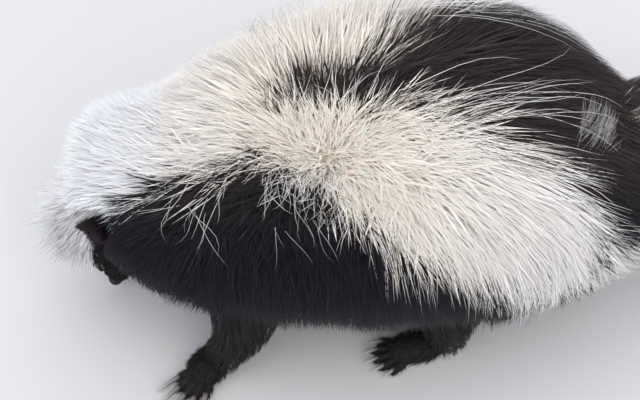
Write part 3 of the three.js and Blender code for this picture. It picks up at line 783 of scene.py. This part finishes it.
# Hair: tapered three-sided blades, gathered in tufts
class Coat:
    """Gathers blades of hair."""

    MOST = 190000  # triangles in one piece
    PATCH = 0.003  # a blade's share of the unwrap

    def __init__(self, name, look):
        self.name = name
        self.look = look
        self.rows = []

    def add(self, paths, out, width, mark, tone, rand, root_uv, skip=None):
        """Blades along paths (count, points, 3), each point with the direction that it faces.

        `skip` tells which paths to leave out.
        """
        values = (np.broadcast_to(value, len(paths)) for value in (width, mark, tone, rand))
        row = [paths, out, *values, root_uv]
        if skip is not None:
            keep = ~skip(paths)
            row = [column[keep] for column in row]
        self.rows.append(row)

    def write(self):
        groups = {}
        for row in self.rows:
            groups.setdefault(row[0].shape[1], []).append(row)
        index = 0
        for points, rows in groups.items():
            columns = [np.concatenate(column) for column in zip(*rows)]
            per_blade = 6 * (points - 2) + 4
            pieces = math.ceil(len(columns[0]) * per_blade / self.MOST)
            for part in range(pieces):
                index += 1
                self.piece(f"{self.name}_{index}", *(column[part::pieces] for column in columns))

    def piece(self, name, paths, out, width, mark, tone, rand, root_uv):
        """A mesh of three-sided blades that taper to points."""
        count, points = paths.shape[:2]
        t = np.linspace(0, 1, points)
        tangent = unit(np.gradient(paths, axis=1))
        side = unit(np.cross(tangent, out))
        face = np.cross(side, tangent)
        girth = (width[:, None] * (1.0 - 0.15 * t - 0.85 * t**2.2))[..., None]
        corners, normals = [], []
        for k in range(3):
            turn = TAU * k / 3 + math.pi / 2
            aim = side * math.cos(turn) + face * math.sin(turn)
            corners.append(paths + girth * (0.5 * side * math.cos(turn) + 0.32 * face * math.sin(turn)))
            normals.append(unit(out + 0.1 * aim))
        rings = np.stack(corners, 2)[:, :-1].reshape(count, -1, 3)
        verts = np.concatenate([rings, paths[:, -1:]], 1)
        shading = np.concatenate([np.stack(normals, 2)[:, :-1].reshape(count, -1, 3), out[:, -1:]], 1)
        per = verts.shape[1]
        tip = per - 1
        tris = [(0, 1, 2)]
        for row in range(points - 2):
            for k in range(3):
                a, b = 3 * row + k, 3 * row + (k + 1) % 3
                tris += [(a, b + 3, b), (a, a + 3, b + 3)]
        tris += [(tip - 3 + k, tip, tip - 3 + (k + 1) % 3) for k in range(3)]
        loops = (np.array(tris)[None] + (np.arange(count) * per)[:, None, None]).reshape(-1)
        along = np.concatenate([np.repeat(t[:-1], 3), [1.0]])
        across = np.concatenate([np.tile([0.0, 0.5, 1.0], points - 1), [0.5]])
        uv = root_uv[:, None] + (np.stack([along, across], -1)[None] - 0.5) * self.PATCH
        mesh = bpy.data.meshes.new(name)
        mesh.vertices.add(count * per)
        mesh.vertices.foreach_set("co", to_frame(verts.reshape(-1, 3)).astype(np.float32).ravel())
        mesh.loops.add(len(loops))
        mesh.loops.foreach_set("vertex_index", loops.astype(np.int32))
        mesh.polygons.add(len(loops) // 3)
        mesh.polygons.foreach_set("loop_start", np.arange(0, len(loops), 3, dtype=np.int32))
        mesh.polygons.foreach_set("use_smooth", np.ones(len(loops) // 3, bool))
        layer = mesh.uv_layers.new(name="OFBake")
        layer.data.foreach_set("uv", uv.reshape(-1, 2)[loops].astype(np.float32).ravel())
        for key, values in (("mark", mark), ("tone", tone), ("rand", rand)):
            point_values(mesh, key, np.repeat(values, per))
        point_values(mesh, "along", np.tile(along, count))
        custom = mesh.attributes.new("custom_normal", "FLOAT_VECTOR", "POINT")
        custom.data.foreach_set("vector", unit(shading).astype(np.float32).ravel())
        mesh.update(calc_edges=True)
        dress(placed(name, mesh), self.look)


def spread_evenly(count, low, high, seed, weight=always(1.0), keep=None):
    """Places that fill a share range and the full turn evenly, by weight along the share.

    `keep` thins them out: it gives how many of 1 stay at a share and an angle.
    """
    k = np.arange(count)
    first, second, third = ((0.5 + k * step + seed * part) % 1.0 for step, part in EVEN_STEPS)
    shares = np.linspace(low, high, 400)
    total = np.cumsum(weight(shares))
    total = (total - total[0]) / (total[-1] - total[0])
    share, angle = np.interp(first, total, shares), second * TAU - math.pi
    if keep is None:
        return share, angle
    stays = third < keep(share, angle)
    return share[stays], angle[stays]


def grow_tufts(coat, trunk, roots, lie, per_tuft, rng, *, points=4, spread=2.4, clump=0.4, width=0.5,
               mark, tone, unwrap, shorter=0.93, shorten=None, skip=None):
    """Tufts of blades on a trunk.

    `lie` gives, for shares and angles, the run along the trunk and round it in millimetres, the rise above
    the outline, the power of that rise (more lies flatter) and how unruly the direction is. `shorten` tells
    which blades to draw in, and `skip` which to leave out.
    """
    share, angle = roots
    count = len(share)
    along, around, over, power, unruly = lie(share, angle)
    jitter = rng.normal(0, 1, (count, 4))
    along, around = spun(along, around, unruly * jitter[:, 0])
    size = np.clip(1 + 0.13 * jitter[:, 1], 0.6, 1.35)
    tuft = {
        "share": share,
        "angle": angle,
        "along": along * size,
        "around": around * size,
        "over": over + 0.7 * np.clip(jitter[:, 2], -2, 2),
        "power": power,
        "girth": trunk.at(share)[4][:, :2].mean(-1),
    }
    t = np.linspace(0, 1, points)[None]

    def path(data):
        s = data["share"][:, None] + data["along"][:, None] * t**1.15 / trunk.length
        a = data["angle"][:, None] + data["around"][:, None] * t**1.15 / data["girth"][:, None]
        depth = ROOT_DEPTH * trunk.coat(data["share"], data["angle"])[:, None]
        inset = depth * (1 - t) ** data["power"][:, None] - data["over"][:, None] * t
        return trunk.point(s, a, inset), s

    blades = {key: np.repeat(value, per_tuft) for key, value in tuft.items()}
    total = count * per_tuft
    offset = rng.normal(0, spread, (total, 2))
    stray = rng.normal(0, 0.5, total) * np.repeat(unruly, per_tuft)
    shrink = np.clip(rng.normal(shorter, 0.12, total), 0.4, 1.12)
    blades["share"] = blades["share"] + offset[:, 0] / trunk.length
    blades["angle"] = blades["angle"] + offset[:, 1] / blades["girth"]
    blades["along"], blades["around"] = spun(blades["along"] * shrink, blades["around"] * shrink, stray)
    deep = trunk.coat(blades["share"], blades["angle"])
    blades["over"] = blades["over"] - (1 - shrink).clip(0) * deep * 0.6
    own, shares = path(blades)
    guide = np.repeat(path(tuft)[0], per_tuft, 0)
    pull = clump * np.repeat(rng.uniform(0.6, 1.2, count), per_tuft)[:, None, None] * (t[..., None] ** 1.3)
    paths = own + (guide - own) * pull
    wave = rng.normal(0, 0.5, (total, 1, 3)) * np.sin(t * math.pi)[..., None]
    paths = paths + wave * (deep / 40)[:, None, None]
    if shorten is not None:
        cut = shorten(paths)
        paths[cut] = paths[cut, :1] + (paths[cut] - paths[cut, :1]) * 0.45
    out = unit(paths - trunk.at(shares)[0] + rng.normal(0, 6.0, (total, 1, 3)))
    ragged = 0.035 * np.repeat(jitter[:, 3], per_tuft) + rng.normal(0, 0.02, total)
    marks = mark(np.repeat(share, per_tuft), np.repeat(angle, per_tuft), ragged)
    tones = tone(blades["share"], blades["angle"])
    rand = rng.uniform(0, 1, total)
    widths = width * rng.uniform(0.75, 1.25, total)
    coat.add(paths, out, widths, marks, tones, rand, unwrap(blades["share"], blades["angle"]), skip)


def unwrap_box(u0, u1, v0, v1):
    """An unwrap of a trunk, and of the hair past its ends: its length across a box, and its turn up it."""

    def place(share, angle):
        u = u0 + (u1 - u0) * fade(share + 0.1, 1.2)
        v = v0 + (v1 - v0) * ((angle + math.pi) / TAU % 1.0)
        return np.stack([u, v], -1)

    return place


def from_whorl(share, angle):
    """How far a place lies from the left shoulder's whorl, along the body and round it, in millimetres.

    On the right side the hair parts along the middle of the back instead.
    """
    right = 0.5 * (np.abs(angle) + 0.1) + 0.5 * hill(share - 0.47, 0.12)
    x = (share - WHORL_SHARE) * body.length
    return x, np.where(angle > 0, angle - WHORL_ANGLE, right) * BODY_GIRTH


def body_lie(share, angle):
    """Hair lies away from a whorl on the shoulder to both ends, and sweeps down over the flanks."""
    high = np.abs(angle)
    x, y = from_whorl(share, angle)
    far = np.hypot(x, y) + 4
    near = np.where(angle > 0, hill(far, 50.0), 0.0)
    parting = hill(share - 0.54, 0.06)
    below = fade(high - white_edge(share, angle) - 0.05, 0.5)
    behind = fade(0.5 - share, 0.25)
    front = fade(share - 0.58, 0.15)
    nape = fade(share - 0.76, 0.2)
    flank = fade(high - 0.7, 0.5)
    zones = {
        "everywhere": 1.0,
        "behind": behind,
        "front": front * (1 - flank),
        "belly": fade(high - 1.7, 1.0),
        "nape": nape,
        "nape_top": nape * (1 - flank),
        "nape_side": nape * flank,
        "rump": fade(0.32 - share, 0.3) * hill(high - 1.5, 0.45),
        "low": fade(high - 1.2, 0.5) * (1 - nape),
    }
    sweep = np.sin(high) * (0.25 + 0.2 * behind + 0.5 * front * below)
    along = x / far * np.where(y < 0, 1, 1 - 0.3 * flank)
    around = y / far * np.where(y < 0, parting, 1) + sweep
    size = np.hypot(along, around) + 1e-6
    reach = sum(part * zones[zone] for zone, part in HAIR_LONG.items())
    reach = reach * (1 - 0.8 * near) * (1 - 0.5 * fade(-y, 30) * parting)
    over = sum(part * zones[zone] for zone, part in HAIR_RISE.items())
    power = 1.15 + 0.45 * behind - 0.2 * zones["nape_top"] - 0.2 * near
    unruly = 0.12 + 0.6 * near + 0.12 * fade(front + nape) * (1 - flank)
    return along / size * reach, np.sign(angle) * around / size * reach, over, power, unruly


def tail_lie(share, angle):
    """The tail's hair lies towards its tip. Its white tuft stands up."""
    tuft = tail_mark(share, angle)
    reach = 50 - 34 * tuft - 9 * fade(share - 0.65, 0.3)
    return reach, 0.1 * reach * np.sin(3 * angle), 0.5 + 9 * tuft, 1.35 - 0.3 * tuft, 0.2 + 0 * share


def limb_lie(share, angle):
    """A leg's hair lies down it, shorter towards the foot."""
    run = 20 - 11 * share
    return run, -0.25 * run * np.sin(angle), 1.2 - share, 1.3 + 0 * share, 0.15 + 0 * share


def from_ears(local):
    """How far points of the head's frame lie from the nearer ear's root."""
    return np.minimum(*(lengths(local - mirrored(EAR_AT, side)) for side in (1, -1)))


def in_ear_zone(local):
    """True for points of the head's frame that are on an ear."""
    return np.minimum(*(lengths(local - ear(side)[0]) for side in (1, -1))) < EAR_ZONE


def near_ears(paths, clear=EAR_ZONE):
    """True where a blade comes close to an ear, or hangs over it from the side that it opens to."""
    fine = np.concatenate([paths[:, :-1] * (1 - k) + paths[:, 1:] * k for k in (0.0, 0.34, 0.67)], 1)
    fine = np.concatenate([fine, paths[:, -1:]], 1)
    local = to_head(fine.reshape(-1, 3))
    hit = np.zeros(len(local), bool)
    for side in (1, -1):
        middle, out, _, _ = ear(side)
        column = middle + out + np.outer([0, 36], unit(mirrored((-0.7, 0.7, 0.12), side)))
        hit |= to_line(local, column) < clear
    return hit.reshape(fine.shape[:2]).any(1)


def in_head(paths):
    """True where a blade's middle runs through the flesh of the head."""
    return ((to_head(paths[:, 1:-1]) / HEAD_FLESH) ** 2).sum(-1).min(1) < 1


def blocked(paths):
    return near_ears(paths) | in_head(paths)


def touches(paths, high):
    """True where a blade comes under a height."""
    return (paths[..., 2] < high).any(1)


def lost(paths):
    return blocked(paths) | touches(paths, OFF_FLOOR["body"])


# Hair that grows on a surface: the head, the ears and the feet
def surface_roots(surface, count, rng, weight):
    """Random points on a surface of four-sided faces and their normals. `weight` sets how dense they are."""
    verts, faces = surface
    quads = np.array([face if len(face) == 4 else (*face, face[-1]) for face in faces])
    corners = verts[quads]
    cross = np.cross(corners[:, 2] - corners[:, 0], corners[:, 3] - corners[:, 1])
    vertex_normals = np.zeros_like(verts)
    for k in range(4):
        np.add.at(vertex_normals, quads[:, k], cross)
    vertex_normals = unit(vertex_normals)
    chance = np.linalg.norm(cross, axis=1) * weight(corners.mean(1), unit(cross))
    picked = rng.choice(len(quads), count, p=chance / chance.sum())
    u, v = rng.uniform(0, 1, (2, count, 1))
    shares = ((1 - u) * (1 - v), u * (1 - v), u * v, (1 - u) * v)
    spots = sum(corners[picked, k] * share for k, share in enumerate(shares))
    normals = unit(sum(vertex_normals[quads[picked, k]] * share for k, share in enumerate(shares)))
    return spots, normals


def grow_on(coat, spots, normals, aim, length, stand, rng, *, width, mark=0.0, tone, uv, rand=None, curl=0.7,
            skip=None):
    """Single blades on a surface. They point to `aim` and rise by `stand`, from 0, flat, to 1, upright."""
    count, points = len(spots), 3
    flat = unit(aim - normals * (aim * normals).sum(-1, keepdims=True))
    across = np.cross(normals, flat)
    turn = rng.normal(0, 0.2, (count, 1))
    flat = flat * np.cos(turn) + across * np.sin(turn)
    lift = np.clip(stand + rng.normal(0, 0.08, count), 0.05, 1)[:, None, None]
    long = (length * np.clip(rng.normal(1, 0.15, count), 0.5, 1.4))[:, None, None]
    curl = np.broadcast_to(curl, count)[:, None, None]
    t = np.linspace(0, 1, points)[None, :, None]
    lean = lift * math.pi / 2
    rise = np.sin(lean) * (t - curl * (1 - lift) * 0.5 * t**2)
    paths = spots[:, None] + long * (flat[:, None] * np.cos(lean) * t + normals[:, None] * rise)
    paths = paths - normals[:, None] * 0.6 * (1 - t)
    out = np.repeat(unit(normals + rng.normal(0, 0.15, normals.shape))[:, None], points, 1)
    widths = width * rng.uniform(0.75, 1.25, count)
    coat.add(paths, out, widths, mark, tone, rng.uniform(0, 1, count) if rand is None else rand, uv, skip)


def head_lie(local, share, angle):
    """Aim, length and stand of the head's hair: short on the muzzle, tall and swept forward on the crown."""
    x = local[:, 0]
    crown = fade(1 - (np.abs(angle) / steps(CROWN_WHITE, share).clip(0.05)) ** 4) * fade(17 - x, 22)
    behind = fade(-24 - x, 12)
    length = 9.5 - 7.2 * fade(x - 2, 26) + 31 * crown**1.8 * (1 - 0.5 * behind)
    length = np.minimum(length, np.clip(2.2 * (from_ears(local) - 9), 3.5, 60))
    stand = 0.2 + 0.5 * crown * (1 - 0.3 * behind)
    side = np.sign(local[:, 1])
    back = np.stack([np.full(len(x), -1.0), 0.25 * side, np.zeros(len(x))], -1)
    forward = np.stack([1 - 0.4 * behind, 0.3 * side, 1.6 * behind], -1)
    return np.where((crown > 0.25)[:, None], forward, back), length, stand, crown


def off_face(centres, normals):
    """How dense the head's hair is: none on ears, eyes, nose and mouth, and densest on the muzzle."""
    local = to_head(centres)
    bare = in_ear_zone(local) | (lengths(local - NOSE_AT) < NOSE_CLEAR)
    bare |= to_line(local, mouth_line()) < MOUTH_CLEAR
    for side in (1, -1):
        bare |= lengths(local - mirrored(EYE_AT, side) - 2 * unit(mirrored(EYE_OUT, side))) < EYE_CLEAR
    return ~bare * (1 + 1.6 * fade(local[:, 0] - 5, 30))


def build_head_coat(look, head, rng):
    coat = Coat("coat_head", look)
    spots, normals = surface_roots(head, 17000, rng, off_face)
    local = to_head(spots)
    share, angle = skull.nearest(local)
    aim, length, stand, crown = head_lie(local, share, angle)
    marks = head_mark(share, angle, rng.normal(0, 0.06, len(share)))
    grow_on(
        coat, spots, normals, aim @ HEAD_AXES, length, stand, rng,
        width=0.42 + 0.35 * crown + 0.2 * fade(-local[:, 0], 20), curl=0.7 + 1.3 * crown,
        mark=marks, tone=np.where(marks > 0, 0.9, 0.85),
        uv=unwrap_box(0.64, 0.99, 0.01, 0.3)(share, angle), skip=near_ears_close,
    )
    build_ear_coats(look, head, rng)
    grow_whiskers(coat, rng)
    coat.write()


def near_ears_close(paths):
    return near_ears(paths, 8.5)


def on_ears(centres, normals):
    """How dense the ears' hair is: thin inside their cups."""
    local = to_head(centres)
    weight = in_ear_zone(local).astype(float)
    for side in (1, -1):
        middle, out, _, _ = ear(side)
        off = local - middle
        inner = ((normals @ HEAD_AXES.T) @ out > 0.1) & (lengths(off - (off @ out)[:, None] * out) < 6.5)
        weight[inner & (local[:, 1] * side > 0)] *= 0.12
    return weight


def build_ear_coats(look, head, rng):
    """Short dark fur on both ears, which points up and away from their roots."""
    coat = Coat("coat_ears", look)
    spots, normals = surface_roots(head, 3600, rng, on_ears)
    local = to_head(spots)
    side = np.sign(local[:, 1:2])
    flip = np.hstack([1 + 0 * side, side, 1 + 0 * side])
    aim = unit(local - EAR_AT * flip) + 0.6 * np.array([0.2, 0.4, 0.9]) * flip
    uv = unwrap_box(0.01, 0.3, 0.82, 0.98)(*skull.nearest(local))
    grow_on(coat, spots, normals, aim @ HEAD_AXES, 3.6, 0.22, rng, width=0.36, tone=0.0,
            rand=rng.uniform(0.45, 0.95, len(spots)), uv=uv)
    coat.write()


def grow_whiskers(coat, rng):
    """A few stiff whiskers on each side of the muzzle, clear of the floor."""
    t = np.linspace(0, 1, 5)[:, None]
    paths = []
    for side in (1, -1):
        for row in range(3):
            for k in range(4):
                root = mirrored(WHISKER_ROOT + WHISKER_STEP * (k, k, row), side)
                aim = np.array([-0.25 - 0.1 * row, side, 0.12 * row - 0.25]) + rng.normal(0, 0.08, 3)
                long = 15 + 4 * (3 - k) + rng.uniform(-2, 2)
                bend = np.array([-0.35, 0.0, -0.12]) * long
                paths.append(from_head(root + aim * long * t + bend * t**2))
    paths = np.array(paths)
    paths[..., 2] = np.maximum(paths[..., 2], 0.6)
    out = unit(paths - from_head([30.0, 0.0, -4.0]))
    count = len(paths)
    uv = np.stack([np.full(count, 0.98), np.linspace(0.02, 0.28, count)], -1)
    coat.add(paths, out, 0.32, 0.0, 1.0, rng.uniform(0, 0.6, count), uv)


def build_foot_coats(look, feet, rng):
    """Short fur on the feet, all but the soles, which points to the toes."""
    coat = Coat("coat_feet", look)
    for i, ((_, _, foot, stands, turn, _), surface) in enumerate(zip(LEGS, feet)):
        forward, aside, _ = turned(math.pi + turn)
        reach = foot["palm"][0]
        spots, normals = surface_roots(
            surface, 1600, rng, lambda centres, facing: (facing[:, 2] > -0.25) * (centres[:, 2] > 1.8))
        off = spots - np.array([*stands, 0.0])
        ahead = off @ forward
        length = 6.2 - 3.4 * fade(ahead - 0.2 * reach, reach)
        aim = np.tile(forward - np.array([0, 0, 0.35]), (len(spots), 1))
        u = 0.33 + 0.075 * i + 0.07 * fade(ahead + 30, 75)
        v = 0.83 + 0.14 * fade(off @ aside + 20, 40)
        grow_on(coat, spots, normals, aim, length, 0.24, rng, width=0.5, tone=0.7,
                uv=np.stack([u, v], -1), skip=lambda paths: touches(paths, OFF_FLOOR["feet"]))
    coat.write()


def grow_strays(coat, rng, box):
    """Single white hairs, bent and crossed, that lie loose over the black of the flanks and the back."""
    t = np.linspace(0, 1, 7)[None]
    for count, shares, angles, (run, round_), unruly, width, white in STRAYS:
        for side in (1, -1):
            share = rng.uniform(*shares, (count, 1))
            angle = rng.uniform(*angles, (count, 1))
            turn = rng.normal(0, unruly, (count, 1))
            size = np.clip(rng.normal(1, 0.25, (count, 1)), 0.5, 1.5)
            bend = rng.normal(0, 0.35, (count, 1)) * np.sin(t * math.pi)
            along, around = (size * t * part for part in spun(run, round_, turn + bend * 0.4))
            inset = 6 - 16 * t + (8 + rng.uniform(-1, 1, (count, 1))) * t**2
            shares_on = share + along / body.length
            paths = body.point(shares_on, side * (angle + around / BODY_GIRTH), inset)
            out = unit(paths - body.at(shares_on)[0])
            coat.add(paths, out, width * rng.uniform(0.7, 1.3, count), white * rng.uniform(0.7, 1, count),
                     0.7, rng.uniform(0, 1, count), box(share[:, 0], side * angle[:, 0]), lost)


def on_neck(centres, normals):
    """1 on the front of the neck, behind and above the head."""
    behind = to_head(centres)[:, 0] < NECK_FRONT["behind"]
    ahead, above = centres[:, 0] < NECK_FRONT["ahead"], centres[:, 2] > NECK_FRONT["above"]
    return (ahead & above & behind).astype(float)


def grow_neck(coat, trunk, rng, box):
    """Hair on the front of the neck, which fills the gap between the nape and the crown."""
    spots, normals = surface_roots(trunk, 5200, rng, on_neck)
    share, angle = body.nearest(spots)
    marks = body_mark(share, angle, rng.normal(0, 0.06, len(share)))
    aim = np.tile(np.array([-0.55, 0.0, -0.8]), (len(spots), 1))
    length = np.clip(0.8 * (from_ears(to_head(spots)) - 8), 5, 20)
    grow_on(coat, spots, normals, aim, length, 0.42, rng, width=0.7,
            mark=marks, tone=body_tone(share, angle), uv=box(share, angle),
            skip=lambda paths: near_ears_close(paths) | in_head(paths))


def by_girth(share):
    return body.at(share)[4][:, :2].sum(-1) ** 0.8


def on_whorl(share, angle):
    """1 at the whorl of the left shoulder, and less around it."""
    return np.where(angle > 0, hill(np.hypot(*from_whorl(share, angle)), 34.0), 0.0)


def crowded(share, angle):
    """The coat is thickest where it parts, on the whorl and the back, and thinnest under the belly."""
    whorl = hill(np.hypot(*from_whorl(share, angle)), 45.0)
    return np.maximum(0.6 - 0.28 * fade(np.abs(angle) - 1.9, 0.4), whorl)


def build_torso_coat(look, trunk, rng):
    """Broad blades under fine ones, with a filling of short ones on the whorl and loose hairs over all."""
    coat = Coat("coat_torso", look)
    box = unwrap_box(0.01, 0.62, 0.01, 0.55)
    same = {"mark": body_mark, "tone": body_tone, "unwrap": box, "shorten": blocked, "skip": lost}
    grow_tufts(coat, body, spread_evenly(2600, 0.0, 1.0, 0.61, by_girth), body_lie, 4, rng,
               points=3, width=2.6, clump=0.1, spread=4.0, shorter=0.74, **same)
    grow_tufts(coat, body, spread_evenly(9000, 0.3, 0.75, 0.47, by_girth, on_whorl), body_lie, 7, rng,
               points=3, width=0.9, clump=0.0, spread=3.5, shorter=0.92, **same)
    grow_tufts(coat, body, spread_evenly(11000, 0.0, 1.0, 0.11, by_girth, crowded), body_lie, 8, rng,
               width=0.5, clump=0.12, **same)
    grow_strays(coat, rng, box)
    grow_neck(coat, trunk, rng, box)
    coat.write()


def build_tail_coat(look, rng):
    coat = Coat("coat_tail", look)
    # Tone 0.15 keeps the tail's black brown and lighter: partly the coat's own tone, partly painted sheen.
    same = {"mark": tail_mark, "tone": always(0.15), "unwrap": unwrap_box(0.01, 0.62, 0.57, 0.8),
            "skip": lambda paths: touches(paths, OFF_FLOOR["tail"])}
    grow_tufts(coat, tail, spread_evenly(700, 0.0, 0.97, 0.71), tail_lie, 4, rng,
               points=3, width=2.0, clump=0.1, spread=3.5, shorter=0.8, **same)
    grow_tufts(coat, tail, spread_evenly(1700, 0.0, 0.97, 0.31), tail_lie, 7, rng,
               width=0.6, clump=0.35, spread=2.0, **same)
    coat.write()


def build_leg_coats(look, rng):
    coat = Coat("coat_legs", look)
    for i, leg in enumerate(LEGS):
        grow_tufts(coat, limb_trunk(leg[-1]), spread_evenly(330, 0.1, 0.98, 0.17 * i), limb_lie, 6, rng,
                   points=3, spread=1.6, width=0.6, mark=always(0.0), tone=always(0.7),
                   unwrap=unwrap_box(0.64, 0.99, 0.32 + 0.16 * i, 0.46 + 0.16 * i),
                   skip=lambda paths: touches(paths, OFF_FLOOR["legs"]))
    coat.write()


def build_coats(look, trunk, head, feet):
    rng = np.random.default_rng(7)
    build_torso_coat(look, trunk, rng)
    build_tail_coat(look, rng)
    build_leg_coats(look, rng)
    build_head_coat(look, head, rng)
    build_foot_coats(look, feet, rng)


# Eyes, nose and claws
def build_eyes(look):
    for name, side in (("eye_left", 1), ("eye_right", -1)):
        verts, faces = ovoid(mirrored(EYE_AT, side), np.full(3, EYE_RADIUS), sides=48, rows=32)
        ball = mesh_object(f"{name}_ball", verts, faces)
        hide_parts(name)
        dress(ball, look)


def build_nose(look):
    """The nose's pad with its nostrils and the groove between them pressed in."""
    local, faces = ovoid((0, 0, 0), NOSE_SIZE, place=lambda points: points, sides=72, rows=56)
    front = fade(unit(local)[:, 0])
    y, z = local[:, 1].copy(), local[:, 2].copy()
    for side in (1, -1):
        gap = np.hypot((y - side * NOSTRIL_APART) / 1.5, z + 0.2 + 0.25 * np.abs(y))
        local[:, 0] -= NOSTRIL_DEEP * front * np.exp(-gap**3)
        local[:, 0] += 0.28 * front * hill(gap - 1.5, 0.35)
    local[:, 0] -= 0.7 * front * (hill(y, 0.4) * fade(1.0 - z, 2))
    pad = mesh_object("nose_pad", from_head(local + NOSE_AT), faces)
    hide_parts("nose")
    dress(pad, look)


def claw_grid(length, thick, place, at):
    """A curved, tapered claw, deeper than it is wide, and how far along it each point lies."""
    along = np.linspace(0, 1, 15)
    ring = np.arange(12) / 12 * TAU
    girth = thick * (1 - along**1.6) ** 0.62
    girth[0] = 0.0
    drop = -(along**2) * length * 0.24
    grid = np.stack([
        along[:, None] * length + 0 * ring,
        girth[:, None] * np.cos(-ring) * 0.78,
        drop[:, None] + girth[:, None] * np.sin(-ring) * 1.15,
    ], -1)
    verts, faces = closed_grid(place(grid + np.asarray(at)))
    return verts, faces, np.concatenate([[0.0], np.repeat(along[1:-1], 12), [1.0]])


def build_claws(look):
    for _, foot_name, foot, stands, turn, _ in LEGS:
        grids = []
        for ahead, aside, place in toes(foot, stands, turn):
            root = (ahead + foot["toe"][0] - TOE_SET["buried"], aside, foot["toe"][2] * 1.15)
            grids.append(claw_grid(foot["claw"], foot["claw_thick"], place, root))
        claws = mesh_object(f"claws_{foot_name}", *joined([grid[:2] for grid in grids]))
        point_values(claws.data, "along", np.concatenate([grid[2] for grid in grids]))
        dress(claws, look)


# Floor, light and the whole
def add_stage():
    bpy.ops.mesh.primitive_plane_add(size=60, location=(0, 0, 0))
    floor = bpy.context.object
    floor.name = "floor"
    look = Look("floor_paper", roughness=0.9, specular=0.1)
    look.shader["Base Color"].default_value = FLOOR_COLOUR
    floor.data.materials.append(look.made)


def add_lights():
    bpy.context.scene.view_settings.view_transform = "Standard"
    world = bpy.data.worlds.new("studio")
    bpy.context.scene.world = world
    world.use_nodes = True
    background = world.node_tree.nodes["Background"].inputs
    background["Color"].default_value = SKY_COLOUR
    background["Strength"].default_value = SKY_STRENGTH
    for name, at, size, watts, colour in LIGHTS:
        data = bpy.data.lights.new(name, "AREA")
        data.size = size
        data.energy = watts
        data.color = colour
        light = placed(name, data)
        light.location = at
        light.rotation_euler = Vector(at).to_track_quat("Z", "Y").to_euler()


def main():
    add_camera()
    add_stage()
    add_lights()
    build_coats(coat_look(), *build_skin(skin_look()))
    build_eyes(eye_look())
    build_nose(nose_look())
    build_claws(claw_look())


main()
